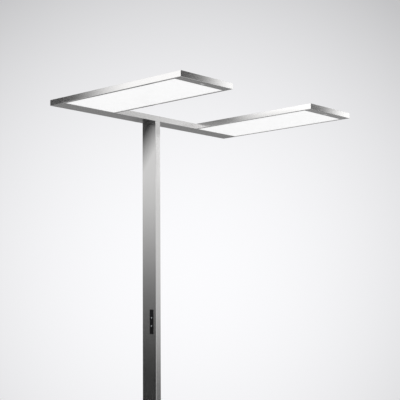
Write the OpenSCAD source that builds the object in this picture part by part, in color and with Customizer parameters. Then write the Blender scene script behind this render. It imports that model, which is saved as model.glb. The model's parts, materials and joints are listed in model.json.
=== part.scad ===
// Office floor lamp: a slim extruded column on a flat base, a crossbar on top of the column and two
// flat panel heads of the same thickness, one at each end of the crossbar.
// Millimetres. The origin is on the floor at the middle of the plan, +Z is up, X runs along the
// crossbar and the heads reach from the crossbar towards -Y.

/* [Overall] */
// Height from the floor to the top of the heads
lamp_height = 1970; // [1700:5:2100]
// Length of the crossbar, over both heads
bar_length = 1100; // [940:5:1400]
// Depth of the crossbar, which is also the depth of the column
bar_depth = 84; // [82:1:96]
// Thickness of the crossbar and of the heads
frame_height = 24; // [23:0.5:30]
// Length of a head, from its far end to the back face of the crossbar
head_length = 742; // [660:1:900]
// Width of a head
head_width = 294; // [240:1:380]

/* [Head rails] */
// Wall of the rails, of the crossbar and of its end caps
rail_wall = 2.2; // [1.8:0.1:2.6]
// Width of the lower lip beside the diffuser
lip_width = 12; // [11:0.5:16]
// Width of the lower lip at the far end
end_lip_width = 42; // [40:0.5:52]
// Thickness of the lower lip and of the crossbar's bottom wall
lip_height = 1.8; // [1.5:0.1:2.2]
// Reach of the inner shelf and of the cover ledge from the outer face
shelf_width = 9; // [8.5:0.5:10]
// Thickness of the inner shelf
shelf_height = 1.2; // [1:0.1:1.6]
// Thickness of the ledge that the top covers lie on
ledge_height = 1.8; // [1.2:0.1:2.2]
// Chamfer on the outer edges of the rails
edge_break = 0.6; // [0.2:0.1:1]

/* [Panels] */
// Thickness of the diffuser
diffuser_height = 2; // [1.5:0.5:3]
// Thickness of the light guide
guide_height = 4; // [3:0.5:4.5]
// Thickness of the reflector sheet
reflector_height = 1; // [0.8:0.1:1.5]
// Distance from a rail's outer face to the edge of the panels
panel_inset = 4.8; // [4.6:0.1:5.4]
// Overlap of the panels on the far lip
panel_seat = 2.5; // [2:0.5:2.5]
// Overlap of the panels on the crossbar's bottom wall
bar_seat = 8; // [5:0.5:9]
// Thickness of the top covers
cover_height = 1.5; // [1:0.1:2]
// Gap round the top covers
cover_gap = 0.2; // [0.1:0.05:0.4]
// Width of the uplight opening in a top cover
window_width = 150; // [100:1:180]
// Length of the uplight opening in a top cover
window_length = 460; // [300:1:500]
// Corner radius of the uplight opening
window_corner = 8; // [4:0.5:14]
// Thickness of the uplight window
window_height = 1.6; // [1:0.1:1.6]
// Border of the uplight window that is glued under the cover
window_border = 8; // [5:0.5:12]

/* [Light sources] */
// Thickness of the light strips' boards
strip_thickness = 1; // [0.8:0.1:1.2]
// Distance between two diodes on a strip
diode_pitch = 30; // [24:1:40]
// Width of a diode
diode_width = 3; // [2:0.2:3]
// Thickness of a diode
diode_height = 0.6; // [0.5:0.1:0.8]
// Width of the uplight board
uplight_width = 30; // [20:1:50]
// Length of the uplight board
uplight_length = 420; // [280:1:450]
// Thickness of the uplight board
uplight_thickness = 1.6; // [1:0.1:2]
// Width of a diode on the uplight board
uplight_diode = 5; // [3:0.5:6]
// Distance between two diodes on the uplight board
uplight_pitch = 36; // [28:1:48]

/* [Sensor windows] */
// Length of a sensor window
sensor_length = 24; // [16:1:30]
// Width of a sensor window
sensor_width = 11; // [8:0.5:13]
// Distance from the far lip's inner edge to the middle of the sensor window
sensor_setback = 14; // [12:0.5:18]

/* [Column] */
// Width of the column across X
column_width = 29; // [28:0.5:40]
// Wall of the column
column_wall = 2.5; // [2:0.1:3]
// Corner radius of the column
column_corner = 1.2; // [0.5:0.1:3]
// Depth of the wiring channel behind the front wall
channel_depth = 8; // [7.5:0.1:9]
// Depth of the chamber that holds the control unit
chamber_depth = 35.6; // [34:0.1:37]
// Thickness of the web between the chambers
web_thickness = 2; // [1.6:0.1:2.6]
// Thickness of the guide ribs
rib_thickness = 1.2; // [1:0.1:1.4]
// Reach of the guide ribs from the side walls
rib_reach = 1.4; // [1:0.1:1.5]

/* [Base] */
// Width of the base plate
base_width = 560; // [460:5:700]
// Depth of the base plate
base_depth = 460; // [400:5:600]
// Thickness of the base plate
base_height = 8; // [7:0.5:14]
// Corner radius of the base plate
base_corner = 30; // [10:1:60]
// Chamfer round the top of the base plate
base_chamfer = 1.5; // [0.5:0.5:3]
// Reach of the base plate behind the column
base_overhang = 8; // [7:0.5:30]
// Radius of a glide
glide_radius = 16; // [10:1:22]
// Thickness of a glide
glide_height = 3; // [2:0.5:5]
// Distance from the base plate's edges to the middle of a glide
glide_inset = 38; // [30:1:60]

/* [Column joints] */
// Length of the blocks inside the column's ends
block_length = 90; // [70:1:120]
// Gap round the blocks
block_gap = 0.2; // [0.1:0.05:0.3]
// Radius of the bolts in the blocks
bolt_radius = 4; // [3:0.5:5]
// Reach of the bolts into the blocks
bolt_reach = 38; // [25:1:50]
// Radius of the screws through the column's back wall
side_screw_radius = 2.5; // [2:0.25:3]
// Length of the screws through the column's back wall
side_screw_length = 14; // [10:1:18]
// Gap round every screw shank
screw_gap = 0.05; // [0.02:0.01:0.1]
// Thickness of the plate over the column
neck_height = 6; // [4:0.5:7]
// Length of the plate over the column
neck_length = 120; // [80:1:160]

/* [Head joints] */
// Thickness of the plates that carry the heads
carrier_height = 3; // [2:0.5:3]
// Length of a carrier plate's tongues
tongue_length = 150; // [100:1:220]
// Width of a carrier plate's tongues
tongue_width = 30; // [18:1:40]
// Width of the corner keys
key_section = 8; // [6:0.5:9]
// Length of a corner key's legs
key_leg = 50; // [30:1:70]
// Radius of the small screws
small_screw_radius = 1.5; // [1:0.1:1.8]

/* [Control unit] */
// Length of the control strip
strip_length = 107.5; // [104:0.5:120]
// Width of the control strip
strip_width = 22; // [20:0.5:24]
// Distance from the heads' underside down to the middle of the strip
strip_drop = 895; // [700:5:1000]
// Distance from the column's front face to the middle of the strip
strip_place = 28; // [26:0.5:31]
// Thickness of the strip's outer rim
bezel_rim = 0.8; // [0.6:0.1:1.2]
// Overlap of the rim on the column
bezel_overlap = 1; // [0.8:0.1:1.4]
// Depth of the bezel inside the column's side face
bezel_depth = 5; // [4.5:0.1:6]
// Distance between two keys
key_pitch = 36; // [35:0.5:37]
// Length of a key
key_length = 28; // [26:0.5:29]
// Width of a key
key_width = 15; // [12:0.5:15.5]
// Gap between a key and the bezel
key_gap = 0.2; // [0.15:0.05:0.3]
// Height of a key above the rim
key_proud = 0.5; // [0.3:0.1:1]
// Depth of the hollow in a key's face
key_dish = 0.4; // [0.1:0.1:0.6]
// Travel of a key
key_travel = 0.6; // [0.4:0.1:0.7]
// Radius of an indicator's light pipe
pipe_radius = 1.3; // [1:0.1:1.5]

/* [Electrics] */
// Width of a driver
driver_width = 20; // [16:0.5:20.5]
// Depth of a driver
driver_depth = 24; // [18:0.5:25]
// Length of a driver
driver_length = 300; // [220:5:320]
// Thickness of the carrier strip that the drivers are screwed to
mount_strip_height = 2; // [1.5:0.1:2.5]
// Height of the cord inlet above the floor
inlet_height = 140; // [135:1:160]
// Radius of the bore for the mains cord
inlet_bore = 3.7; // [3:0.1:4.2]
// Radius of the inlet bush in the column's wall
inlet_radius = 6; // [5.5:0.1:7]
// Radius of the column's wiring loom
column_loom_radius = 3.4; // [2.5:0.1:3.5]
// Radius of the heads' wiring looms
head_loom_radius = 2.5; // [2:0.1:2.8]
// Bend radius of the looms
loom_bend = 15; // [12:0.5:20]

/* [Hidden] */
$fn = 48;
eps = 0.01;
// How far a cut runs past the face that it opens
past = 1;
// Plan: the base plate and the heads together are centred on the origin
front_y = -(head_length + base_overhang) / 2;
back_y = front_y + head_length;
bar_front_y = back_y - bar_depth;
bar_end_x = bar_length / 2;
head_inner_x = bar_end_x - head_width;
head_mid_x = bar_end_x - head_width / 2;
underside_z = lamp_height - frame_height;
// Heights inside the heads and the crossbar, above their underside
shelf_bottom = lip_height + diffuser_height + guide_height + reflector_height;
shelf_top = shelf_bottom + shelf_height;
ledge_top = frame_height - cover_height;
ledge_bottom = ledge_top - ledge_height;
carrier_top = shelf_top + carrier_height;
// Panels of a head
panel_left_x = -bar_end_x + panel_inset;
panel_width = head_width - 2 * panel_inset;
panel_front_y = front_y + end_lip_width - panel_seat;
panel_length = bar_front_y + bar_seat - panel_front_y;
rail_length = head_length - bar_depth;
head_mid_y = front_y + rail_length / 2;
strip_run = rail_length - end_lip_width - 2 * strip_thickness;
diode_count = floor((strip_run - diode_width) / diode_pitch);
uplight_count = floor(uplight_length / uplight_pitch);
uplight_bottom = shelf_bottom;
header_length = 16;
header_width = 14;
header_gap = 1;
header_top = ledge_bottom - window_height - header_gap;
// Sensor windows: the lens in the lip with its flange, and the board that stands on the flange
sensor_place = end_lip_width - sensor_setback;
lens_gap = 0.1;
lens_flange = 1;
lens_flange_height = 0.8;
sensor_lift = 0.5;
sensor_board_height = 1.2;
sensor_board_margin = 4;
sensor_socket_place = 6;
sensor_socket_length = 7;
sensor_socket_width = 6;
sensor_socket_height = 2.8;
// Depths inside the column, behind its front face
channel_back = column_wall + channel_depth;
chamber_front = channel_back + rib_thickness;
web_front = chamber_front + chamber_depth;
web_back = web_front + web_thickness;
slot_gap = 0.2;
way_gap = 0.5;
slot_back = web_back + mount_strip_height + 2 * slot_gap;
rear_front = slot_back + rib_thickness;
rear_back = bar_depth - column_wall;
column_inside = column_width - 2 * column_wall;
column_side_x = column_width / 2;
base_top = glide_height + base_height;
front_block_place = (chamber_front + web_front) / 2;
rear_block_place = (rear_front + rear_back) / 2;
base_back_y = back_y + base_overhang;
glide_pin_radius = 4;
glide_pin_length = 5;
side_screw_lift = 10;
side_screw_drop = 12;
side_screw_places = [bolt_reach + side_screw_lift, block_length - side_screw_drop];
bolt_end_gap = 4;
bolt_head_height = 2 * bolt_radius;
bolt_head_radius = 1.6 * bolt_radius;
// Small screws lie along the middle of the shelves
screw_shift = 0.4;
screw_line = (rail_wall + shelf_width) / 2 + screw_shift;
side_gap = 0.3;
small_head_radius = 2 * small_screw_radius;
small_head_height = 1.2 * small_screw_radius;
// Control unit
strip_z = underside_z - strip_drop;
opening_width = strip_width - 2 * bezel_overlap;
opening_length = strip_length - 2 * bezel_overlap;
bezel_back = bezel_depth;
key_flange = 1;
key_flange_height = 1;
key_rest_gap = 0.3;
board_standoff = 5.5;
board_front = bezel_back + board_standoff;
board_thickness = 1.6;
switch_height = 2.5;
switch_width = 6;
stem_radius = 1.7;
stem_overlap = 0.3;
well_radius = stem_radius + side_gap;
well_depth = stem_overlap + key_travel + way_gap;
post_radius = 2.1;
post_offset = 6.4;
post_screw_radius = 1;
post_floor = 1;
post_screw_start = bezel_back + post_floor + way_gap;
post_head_radius = 1.9;
post_head_height = 1.2;
indicator_size = 0.8;
indicator_gap = 0.1;
socket_bottom = 8;
socket_length = 8;
socket_width = 10;
socket_depth = 5;
// Electrics
mount_strip_lift = 8;
mount_strip_past = 14;
terminal_lift = 26;
terminal_length = 40;
driver_spacing = 24;
mount_strip_bottom = base_top + block_length + mount_strip_lift;
terminal_bottom = inlet_height + terminal_lift;
first_driver_z = terminal_bottom + terminal_length + driver_spacing;
second_driver_z = first_driver_z + driver_length + driver_spacing;
mount_strip_length = second_driver_z + driver_length + mount_strip_past - mount_strip_bottom;
driver_mid = web_back + slot_gap + mount_strip_height + driver_depth / 2;
loom_rise = 30;
loom_start_z = second_driver_z + driver_length;
loom_turn_z = loom_start_z + loom_rise;
loom_cross_z = loom_turn_z + loom_bend;
channel_mid = column_wall + channel_depth / 2;
loom_line = 8;
loom_level = carrier_top + side_gap + head_loom_radius;
connector_front = rail_wall + side_gap;
connector_depth = 13.5;
connector_half = 14;
clip_half = 4;
clip_wall = 1.6;
clip_reach = head_loom_radius + clip_wall;
clip_places = [0.3, 0.6, 0.9];
clip_run = head_inner_x - connector_half;
gasket_gap = 0.05;

// ---- Shared shapes ----

// Box between two opposite corners
module span(low, high) {
    translate(low) cube(high - low);
}

// Rectangle with round corners, centred
module round_rect(width, depth, radius) {
    square([width - 2 * radius, depth], center = true);
    square([width, depth - 2 * radius], center = true);
    for (x = [-1, 1], y = [-1, 1])
        translate([x * (width / 2 - radius), y * (depth / 2 - radius)]) circle(radius);
}

// Countersunk screw with a hexagon socket, its head flush with z = 0 and its shank going down
module countersunk(radius, length) {
    difference() {
        union() {
            translate([0, 0, -length]) cylinder(h = length, r = radius);
            translate([0, 0, -radius]) cylinder(h = radius, r1 = radius, r2 = 2 * radius);
        }
        translate([0, 0, -0.7 * radius]) cylinder(h = radius, r = 0.8 * radius, $fn = 6);
    }
}

// Hole for a countersunk screw, open above z = 0
module countersunk_hole(radius, length) {
    translate([0, 0, -length]) cylinder(h = length + eps, r = radius + screw_gap);
    translate([0, 0, -radius]) cylinder(h = radius, r1 = radius + screw_gap, r2 = 2 * radius + screw_gap);
    cylinder(h = past, r = 2 * radius + screw_gap);
}

// Everything of a head is drawn for the left one, at -X
module on_side(side) {
    if (side > 0) mirror([1, 0, 0]) children();
    else children();
}

// Moves a part drawn from the front face and the underside of the crossbar
module in_bar() {
    translate([0, bar_front_y, underside_z]) children();
}

// Moves a part drawn from the column's front face and the floor
module in_column() {
    translate([0, bar_front_y, 0]) children();
}

// ---- Extruded frame ----

// Outer wall at x = 0 with its shelf and ledge, from the top of the lip round to the lower edge
function wall_outline() = [
    [rail_wall, lip_height], [rail_wall, shelf_bottom], [shelf_width, shelf_bottom],
    [shelf_width, shelf_top], [rail_wall, shelf_top],
    [rail_wall, ledge_bottom], [shelf_width, ledge_bottom],
    [shelf_width, ledge_top], [rail_wall, ledge_top],
    [rail_wall, frame_height], [edge_break, frame_height],
    [0, frame_height - edge_break], [0, edge_break], [edge_break, 0]
];

// Section of a rail: the wall and a lower lip
module rail_section(lip) {
    polygon(concat([[lip, 0], [lip, lip_height]], wall_outline()));
}

// Section of the crossbar: two walls that face each other, joined by the bottom wall
module bar_section() {
    wall = wall_outline();
    last = len(wall) - 1;
    polygon(concat(wall, [for (k = [last:-1:0]) [bar_depth - wall[k][0], wall[k][1]]]));
}

// Long rail, its outer face at x = 0, from the far end at y = 0 to the crossbar
module long_rail() {
    difference() {
        translate([0, rail_length, 0]) rotate([90, 0, 0]) linear_extrude(rail_length) rail_section(lip_width);
        // Mitre at the far end
        translate([0, 0, -past]) linear_extrude(frame_height + 2 * past)
            polygon([[-past, -past], [lip_width + past, -past], [lip_width + past, lip_width + past]]);
        for (y = tongue_screw_places())
            translate([screw_line, rail_length - y, shelf_bottom - eps])
                cylinder(h = shelf_height + 2 * eps, r = small_screw_radius + screw_gap);
        for (y = cover_screw_places())
            translate([screw_line, y, ledge_bottom - eps])
                cylinder(h = ledge_height + 2 * eps, r = small_screw_radius + screw_gap);
    }
}

// Far rail, its outer face at y = 0, between the mitres of the long rails
module far_rail() {
    difference() {
        intersection() {
            rotate([90, 0, 90]) linear_extrude(head_width) rail_section(end_lip_width);
            translate([0, 0, -past]) linear_extrude(frame_height + 2 * past)
                polygon([[0, 0], [head_width, 0],
                    [head_width - lip_width, lip_width], [head_width - lip_width, end_lip_width],
                    [lip_width, end_lip_width], [lip_width, lip_width]]);
        }
        translate([head_width / 2, sensor_place, -past]) linear_extrude(lip_height + 2 * past)
            round_rect(sensor_length, sensor_width, sensor_width / 2 - eps);
    }
}

// Distances of the tongue screws from the crossbar's front face
function tongue_screw_places() = [for (k = [0.2, 0.55, 0.9]) k * tongue_length];

// Distances of the cover screws from the far end
function cover_screw_places() = [for (k = [0.06, 0.35, 0.65, 0.94]) k * rail_length];

module outer_rail(side) {
    color("silver") on_side(side) translate([-bar_end_x, front_y, underside_z]) long_rail();
}

module inner_rail(side) {
    color("silver") on_side(side)
        translate([-head_inner_x, front_y, underside_z]) mirror([1, 0, 0]) long_rail();
}

module end_rail(side) {
    color("silver") on_side(side) translate([-bar_end_x, front_y, underside_z]) far_rail();
}

// L-shaped keys that hold the mitred corners, one in each far corner
module corner_keys(side) {
    inset = rail_wall + block_gap;
    height = ledge_bottom - shelf_top - block_gap;
    color("dimgray") on_side(side) translate([0, front_y, underside_z + shelf_top])
        for (x = [-bar_end_x, -head_inner_x])
            translate([x, 0, 0]) mirror([x == -bar_end_x ? 0 : 1, 0, 0]) {
                span([inset, inset, 0], [inset + key_section, inset + key_leg, height]);
                span([inset, inset, 0], [inset + key_leg, inset + key_section, height]);
            }
}

// Crossbar between its end caps, with a way into each head
module crossbar_profile() {
    color("silver") in_bar() difference() {
        translate([-bar_end_x + rail_wall, 0, 0]) rotate([90, 0, 90])
            linear_extrude(bar_length - 2 * rail_wall) bar_section();
        for (side = [-1, 1]) {
            on_side(side) span([-bar_end_x + rail_wall - past, -past, lip_height],
                [-head_inner_x - rail_wall, shelf_width + past, ledge_bottom]);
            on_side(side) for (x = carrier_screw_places())
                translate([x, bar_depth - screw_line, shelf_bottom - eps])
                    cylinder(h = shelf_height + 2 * eps, r = small_screw_radius + screw_gap);
        }
        for (y = [screw_line, bar_depth - screw_line], x = lid_screw_places())
            translate([x, y, ledge_bottom - eps])
                cylinder(h = ledge_height + 2 * eps, r = small_screw_radius + screw_gap);
        for (y = [front_block_place, rear_block_place])
            translate([0, y, -eps]) cylinder(h = lip_height + 2 * eps, r = bolt_radius + way_gap);
        translate([0, channel_mid, -eps]) cylinder(h = shelf_top + 2 * eps, r = column_loom_radius + way_gap);
    }
}

// Places of the carrier screws along the crossbar's back shelf
function carrier_screw_places() = [for (k = [0.1, 0.5, 0.9]) -bar_end_x + k * head_width];

// Places of the lid screws along the crossbar
function lid_screw_places() = [for (k = [-0.94, -0.31, 0.31, 0.94]) k * bar_end_x];

module crossbar_lid() {
    inset = rail_wall + cover_gap;
    color("silver") in_bar() difference() {
        span([-bar_end_x + inset, inset, ledge_top], [bar_end_x - inset, bar_depth - inset, frame_height]);
        for (y = [screw_line, bar_depth - screw_line], x = lid_screw_places())
            translate([x, y, frame_height]) countersunk_hole(small_screw_radius, cover_height + eps);
    }
}

// Screws of the crossbar's lid and of both top covers
module cover_screws() {
    length = cover_height + ledge_height;
    rail_lines = [bar_end_x - screw_line, head_inner_x + screw_line];
    color("gray") translate([0, 0, lamp_height]) {
        for (y = [screw_line, bar_depth - screw_line], x = lid_screw_places())
            translate([x, bar_front_y + y, 0]) countersunk(small_screw_radius, length);
        for (side = [-1, 1], x = rail_lines, y = cover_screw_places())
            translate([side * x, front_y + y, 0]) countersunk(small_screw_radius, length);
    }
}

// End cap of the crossbar, with a plug that fits between the walls
module end_cap(side) {
    plug_depth = 8;
    plug_gap = 2;
    color("silver") on_side(side) in_bar() translate([-bar_end_x, 0, 0]) {
        rotate([90, 0, 90]) linear_extrude(rail_wall) polygon([
            [0, 0], [bar_depth - edge_break, 0], [bar_depth, edge_break],
            [bar_depth, frame_height - edge_break], [bar_depth - edge_break, frame_height],
            [0, frame_height]]);
        span([rail_wall, bar_seat + plug_gap, lip_height],
            [rail_wall + plug_depth, bar_depth - rail_wall - block_gap, shelf_bottom - block_gap]);
    }
}

// ---- Head joints ----

// Steel plate in the crossbar's end with two tongues that reach into the head's long rails
module carrier_plate(side) {
    left = -bar_end_x + rail_wall + side_gap;
    right = -head_inner_x - rail_wall - side_gap;
    color("slategray") on_side(side) in_bar() difference() {
        union() {
            span([left, side_gap, shelf_top], [right, bar_depth - rail_wall - side_gap, carrier_top]);
            span([left, -tongue_length, shelf_top], [left + tongue_width, side_gap, carrier_top]);
            span([right - tongue_width, -tongue_length, shelf_top], [right, side_gap, carrier_top]);
        }
        for (spot = carrier_screw_spots())
            translate([spot[0], spot[1], shelf_top - eps])
                cylinder(h = carrier_height + 2 * eps, r = small_screw_radius + screw_gap);
    }
}

// Screws that clamp the carrier plate to the rails' shelves and to the crossbar's back shelf
module carrier_screws(side) {
    color("gray") on_side(side) in_bar() for (spot = carrier_screw_spots())
        translate([spot[0], spot[1], 0]) {
            translate([0, 0, shelf_bottom]) cylinder(h = carrier_top - shelf_bottom, r = small_screw_radius);
            translate([0, 0, carrier_top]) cylinder(h = small_head_height, r = small_head_radius);
        }
}

function carrier_screw_spots() = concat(
    [for (y = tongue_screw_places()) [-bar_end_x + screw_line, -y]],
    [for (y = tongue_screw_places()) [-head_inner_x - screw_line, -y]],
    [for (x = carrier_screw_places()) [x, bar_depth - screw_line]]);

// ---- Panels ----

// Sheet as large as the panels of a head, between two levels above the underside
module panel(side, low, high) {
    on_side(side) span([panel_left_x, panel_front_y, underside_z + low],
        [panel_left_x + panel_width, panel_front_y + panel_length, underside_z + high]);
}

module diffuser(side) {
    color("white") panel(side, lip_height, lip_height + diffuser_height);
}

module light_guide(side) {
    low = lip_height + diffuser_height;
    color("aliceblue") panel(side, low, low + guide_height);
}

module reflector(side) {
    color("whitesmoke") panel(side, shelf_bottom - reflector_height, shelf_bottom);
}

// Light strips that stand in the long rails and shine into the edges of the light guide
module light_strips(side) {
    diode_mid = lip_height + diffuser_height + guide_height / 2;
    color("gold") on_side(side) for (x = [-bar_end_x, -head_inner_x])
        translate([x, front_y + end_lip_width + strip_thickness, underside_z])
            mirror([x == -bar_end_x ? 0 : 1, 0, 0]) {
                span([rail_wall, 0, lip_height], [rail_wall + strip_thickness, strip_run, shelf_bottom]);
                for (k = [0.5:1:diode_count - 0.5])
                    translate([rail_wall + strip_thickness, k * strip_run / diode_count - diode_width / 2,
                        diode_mid - diode_width / 2]) cube([diode_height, diode_width, diode_width]);
            }
}

// Board on top of the reflector that lights the ceiling, with the header for its loom
module uplight_board(side) {
    color("ghostwhite") on_side(side) translate([-head_mid_x, head_mid_y, underside_z + uplight_bottom]) {
        span([-uplight_width / 2, -uplight_length / 2, 0],
            [uplight_width / 2, uplight_length / 2, uplight_thickness]);
        for (k = [0.5:1:uplight_count - 1])
            translate([-uplight_diode / 2, -uplight_length / 2 + k * uplight_length / uplight_count,
                uplight_thickness]) cube([uplight_diode, uplight_diode, diode_height]);
        span([-header_width / 2, uplight_length / 2 - header_length, uplight_thickness],
            [header_width / 2, uplight_length / 2, header_top - uplight_bottom]);
    }
}

module top_cover(side) {
    inset = rail_wall + cover_gap;
    color("silver") on_side(side) translate([0, 0, underside_z]) difference() {
        span([-bar_end_x + inset, front_y + inset, ledge_top],
            [-head_inner_x - inset, bar_front_y - cover_gap, frame_height]);
        translate([-head_mid_x, head_mid_y, ledge_top - past]) linear_extrude(cover_height + 2 * past)
            round_rect(window_width, window_length, window_corner);
        for (x = [-bar_end_x + screw_line, -head_inner_x - screw_line], y = cover_screw_places())
            translate([x, front_y + y, frame_height])
                countersunk_hole(small_screw_radius, cover_height + eps);
    }
}

// Opal sheet glued under the opening of the top cover
module uplight_window(side) {
    color("white") on_side(side)
        translate([-head_mid_x, head_mid_y, underside_z + ledge_top - window_height])
            linear_extrude(window_height) round_rect(window_width + 2 * window_border,
                window_length + 2 * window_border, window_corner + window_border);
}

// ---- Sensor windows ----

// Frosted lens flush with the underside, with a flange that rests on the lip
module sensor_window(side) {
    color("gainsboro") on_side(side) translate([-head_mid_x, front_y + sensor_place, underside_z]) {
        linear_extrude(lip_height) round_rect(sensor_length - 2 * lens_gap, sensor_width - 2 * lens_gap,
            sensor_width / 2 - lens_gap - eps);
        translate([0, 0, lip_height]) linear_extrude(lens_flange_height)
            round_rect(sensor_length + 2 * lens_flange, sensor_width + 2 * lens_flange,
                sensor_width / 2 + lens_flange - eps);
    }
}

// Sensor board on the window's flange, with the round sensor and a small socket
module sensor_board(side) {
    low = lip_height + lens_flange_height;
    board_top = sensor_lift + sensor_board_height;
    color("darkgreen") on_side(side) translate([-head_mid_x, front_y + sensor_place, underside_z + low]) {
        translate([0, 0, sensor_lift]) linear_extrude(sensor_board_height)
            round_rect(sensor_length + 2 * sensor_board_margin, sensor_width + 2 * lens_flange, 1);
        cylinder(h = sensor_lift + eps, r = sensor_width / 3);
        span([sensor_socket_place, -sensor_socket_width / 2, board_top - eps],
            [sensor_socket_place + sensor_socket_length, sensor_socket_width / 2,
                board_top + sensor_socket_height]);
    }
}

// ---- Column ----

module column_section() {
    difference() {
        translate([0, bar_depth / 2]) round_rect(column_width, bar_depth, column_corner);
        translate([-column_inside / 2, column_wall]) square([column_inside, web_front - column_wall]);
        translate([-column_inside / 2, web_back]) square([column_inside, rear_back - web_back]);
    }
    // Guide ribs: two before the control chamber, two that hold the drivers' mount on the web
    for (x = [-1, 1], y = [channel_back, slot_back])
        translate([x * (column_inside / 2 - rib_reach / 2), y + rib_thickness / 2])
            square([rib_reach + 2 * eps, rib_thickness], center = true);
}

module column_profile() {
    color("silver") in_column() difference() {
        translate([0, 0, base_top]) linear_extrude(underside_z - base_top) column_section();
        // Opening for the control unit
        translate([-column_side_x - past, strip_place, strip_z]) rotate([90, 0, 90])
            linear_extrude(column_wall + 2 * past) square([opening_width, opening_length], center = true);
        // Way of the loom through the web
        translate([0, web_front - past, loom_cross_z]) rotate([-90, 0, 0])
            cylinder(h = web_thickness + 2 * past, r = column_loom_radius + 3 * way_gap);
        // Inlet bush
        translate([0, rear_back - past, inlet_height]) rotate([-90, 0, 0])
            cylinder(h = column_wall + 2 * past, r = inlet_radius + gasket_gap);
        for (z = column_screw_heights())
            translate([0, bar_depth, z]) rotate([-90, 0, 0])
                countersunk_hole(side_screw_radius, column_wall + past);
    }
}

function column_screw_heights() = concat(
    [for (z = side_screw_places) base_top + z],
    [for (z = side_screw_places) underside_z - z]);

module column_screws() {
    color("gray") in_column() for (z = column_screw_heights())
        translate([0, bar_depth, z]) rotate([-90, 0, 0]) countersunk(side_screw_radius, side_screw_length);
}

// Steel blocks that fill the two large chambers at one end of the column, drilled for the bolts
module blocks(low, bolts_from_top) {
    half = column_inside / 2 - block_gap;
    color("slategray") in_column() translate([0, 0, low]) difference() {
        union() {
            span([-half, chamber_front + block_gap, 0], [half, web_front - block_gap, block_length]);
            span([-half, rear_front + block_gap, 0], [half, rear_back - block_gap, block_length]);
        }
        for (y = [front_block_place, rear_block_place])
            translate([0, y, bolts_from_top ? block_length - bolt_reach - bolt_end_gap : -eps])
                cylinder(h = bolt_reach + bolt_end_gap + eps, r = bolt_radius + screw_gap);
        for (z = side_screw_places)
            translate([0, rear_back - block_gap + eps, bolts_from_top ? block_length - z : z])
                rotate([90, 0, 0])
                    cylinder(h = side_screw_length - column_wall, r = side_screw_radius + screw_gap);
    }
}

module foot_blocks() {
    blocks(base_top, false);
}

module neck_blocks() {
    blocks(underside_z - block_length, true);
}

// Plate on the crossbar's bottom wall that spreads the load of the neck bolts
module neck_plate() {
    color("slategray") in_bar() difference() {
        span([-neck_length / 2, connector_front + connector_depth + past, lip_height],
            [neck_length / 2, bar_depth - 2 * rail_wall, lip_height + neck_height]);
        for (y = [front_block_place, rear_block_place])
            translate([0, y, lip_height - eps])
                cylinder(h = neck_height + 2 * eps, r = bolt_radius + screw_gap);
    }
}

module neck_bolts() {
    seat = lip_height + neck_height;
    color("gray") in_bar() for (y = [front_block_place, rear_block_place])
        translate([0, y, -bolt_reach]) difference() {
            union() {
                cylinder(h = bolt_reach + seat, r = bolt_radius);
                translate([0, 0, bolt_reach + seat]) cylinder(h = bolt_head_height, r = bolt_head_radius);
            }
            // Hexagon socket
            translate([0, 0, bolt_reach + seat + bolt_head_height / 2])
                cylinder(h = bolt_head_height, r = 0.8 * bolt_radius, $fn = 6);
        }
}

// ---- Base ----

module base_plate() {
    mid_y = base_back_y - base_depth / 2;
    color("darkgray") difference() {
        translate([0, mid_y, glide_height]) {
            linear_extrude(base_height - base_chamfer) round_rect(base_width, base_depth, base_corner);
            translate([0, 0, base_height - base_chamfer]) hull() for (x = [-1, 1], y = [-1, 1])
                translate([x * (base_width / 2 - base_corner), y * (base_depth / 2 - base_corner), 0])
                    cylinder(h = base_chamfer, r1 = base_corner, r2 = base_corner - base_chamfer, $fn = 96);
        }
        for (y = [front_block_place, rear_block_place])
            translate([0, bar_front_y + y, glide_height]) rotate([180, 0, 0])
                countersunk_hole(bolt_radius, base_height + past);
        for (spot = glide_spots())
            translate([spot[0], spot[1], glide_height - past])
                cylinder(h = glide_pin_length + past + slot_gap, r = glide_pin_radius + gasket_gap);
    }
}

// Middles of the four glides
function glide_spots() = [for (x = [-1, 1], y = [0, 1])
    [x * (base_width / 2 - glide_inset), base_back_y - base_depth * y + glide_inset * (2 * y - 1)]];

// Glides: round pads with a soft lower edge and a pin that is pressed into the plate
module base_glides() {
    edge = glide_height / 3;
    color("black") for (spot = glide_spots())
        translate([spot[0], spot[1], 0]) rotate_extrude() union() {
            polygon([[0, 0], [glide_radius - edge, 0], [glide_radius, edge], [glide_radius, glide_height],
                [0, glide_height]]);
            translate([0, glide_height - eps]) square([glide_pin_radius, glide_pin_length + eps]);
        }
}

module foot_bolts() {
    color("gray") in_column() for (y = [front_block_place, rear_block_place])
        translate([0, y, glide_height]) rotate([180, 0, 0])
            countersunk(bolt_radius, base_height + bolt_reach);
}

// ---- Control unit ----
// Drawn with x = 0 on the column's side face and +x going into the column

module in_control() {
    in_column() translate([-column_side_x, strip_place, strip_z]) children();
}

// Flat shape in the strip's plane, with its length along z, swept along x between two depths
module control_sweep(low, high) {
    translate([low, 0, 0]) rotate([90, 0, 90]) linear_extrude(high - low) children();
}

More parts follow.
